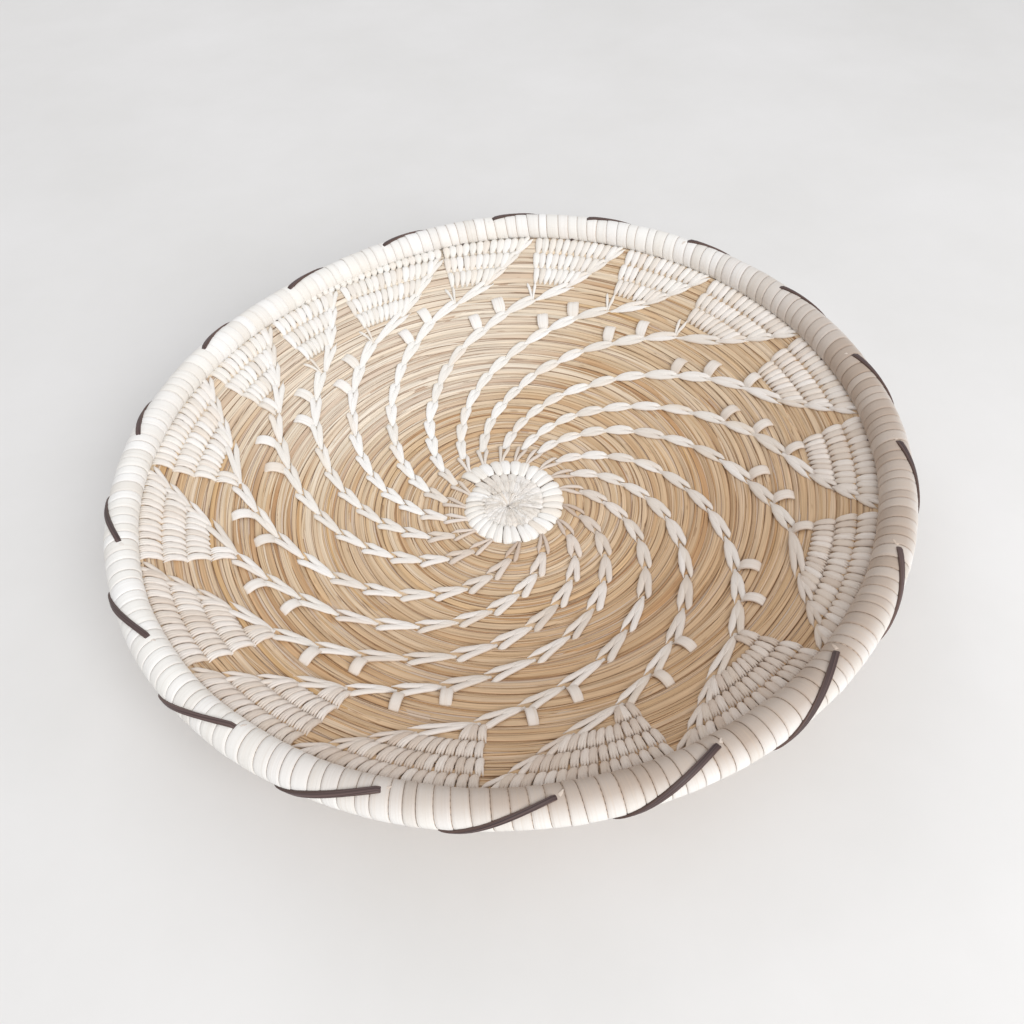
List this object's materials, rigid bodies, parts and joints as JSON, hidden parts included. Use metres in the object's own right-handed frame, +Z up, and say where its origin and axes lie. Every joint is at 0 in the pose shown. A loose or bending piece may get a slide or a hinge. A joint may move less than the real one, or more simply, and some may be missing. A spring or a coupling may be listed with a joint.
{
  "type": "coiled grass basket",
  "caption": "Shallow round coiled grass bowl with a swirl of pale split stitches that widens into petals, and a pale wrapped rim laced with one dark strip.",
  "frame": {"origin": "on the surface the basket stands on, under the middle of the rim's outline", "axes": "+Z up out of the open bowl; +X to the right and +Y away from the viewer of the picture"},
  "size_m": [0.2402, 0.2403, 0.0428],
  "materials": {
    "grass": "dull dried golden grass stems",
    "binding": "matt cream-white split leaf strip",
    "lacing": "matt near-black split plant strip"
  },
  "bodies": {
    "root": {"start_knot": "binding", "start_ring": "binding", "grass_coil": "grass", "rim_core": "grass", "rim_wrap_01": "binding", "rim_wrap_02": "binding", "rim_wrap_03": "binding", "rim_wrap_04": "binding", "rim_wrap_05": "binding", "rim_wrap_06": "binding", "rim_wrap_07": "binding", "rim_wrap_08": "binding", "rim_wrap_09": "binding", "rim_wrap_10": "binding", "rim_wrap_11": "binding", "rim_wrap_12": "binding", "rim_wrap_13": "binding", "rim_wrap_14": "binding", "rim_wrap_15": "binding", "rim_wrap_16": "binding", "rim_wrap_17": "binding", "rim_wrap_18": "binding", "rim_wrap_19": "binding", "rim_wrap_20": "binding", "rim_wrap_21": "binding", "rim_wrap_22": "binding", "rim_wrap_23": "binding", "rim_wrap_24": "binding", "rim_lacing": "lacing", "petal_01": "binding", "petal_02": "binding", "petal_03": "binding", "petal_04": "binding", "petal_05": "binding", "petal_06": "binding", "petal_07": "binding", "petal_08": "binding", "petal_09": "binding", "petal_10": "binding", "petal_11": "binding", "petal_12": "binding", "petal_13": "binding", "petal_14": "binding", "petal_15": "binding", "petal_16": "binding", "petal_17": "binding"}
  },
  "joints": []
}
